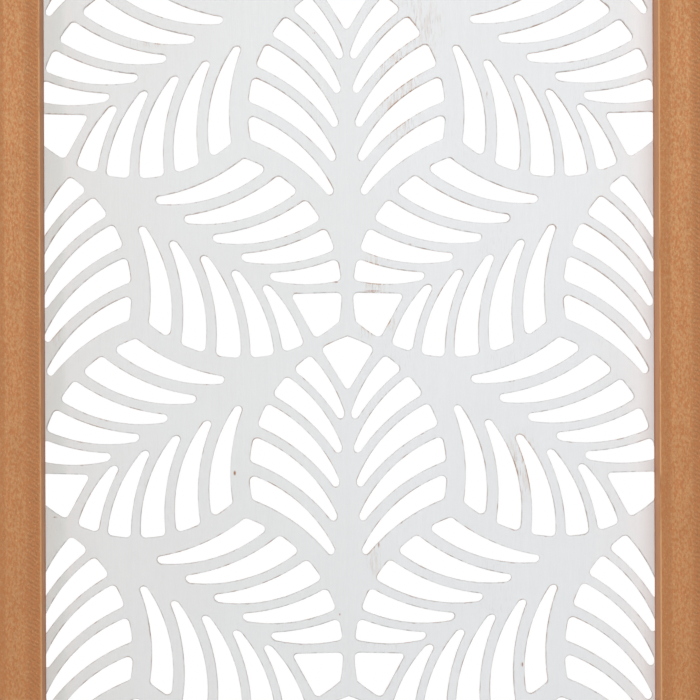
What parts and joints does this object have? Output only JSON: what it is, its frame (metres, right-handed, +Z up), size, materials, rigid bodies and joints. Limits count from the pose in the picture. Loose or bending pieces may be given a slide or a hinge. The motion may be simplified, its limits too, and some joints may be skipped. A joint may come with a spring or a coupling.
{
  "type": "fretwork wall panel",
  "caption": "Tall framed wall panel: a thin sheet pierced with palm leaves, set in a rebate behind mitred wooden bars.",
  "frame": {"origin": "on the back of the top rail, half way along it and in the middle of the strip that the rebate leaves", "axes": "+Z up along the stiles, +Y out of the back towards the wall, +X to the right as seen from the front"},
  "size_m": [0.4, 0.02, 0.6],
  "materials": {
    "whitewashed_wood": "matt whitewash over wood, with the grain and worn brown edges showing",
    "stained_wood": "warm brown stain, satin, with fine straight grain and saw marks"
  },
  "bodies": {
    "root": {"fretwork_sheet": "whitewashed_wood", "top_rail": "stained_wood", "bottom_rail": "stained_wood", "left_stile": "stained_wood", "right_stile": "stained_wood"}
  },
  "joints": []
}
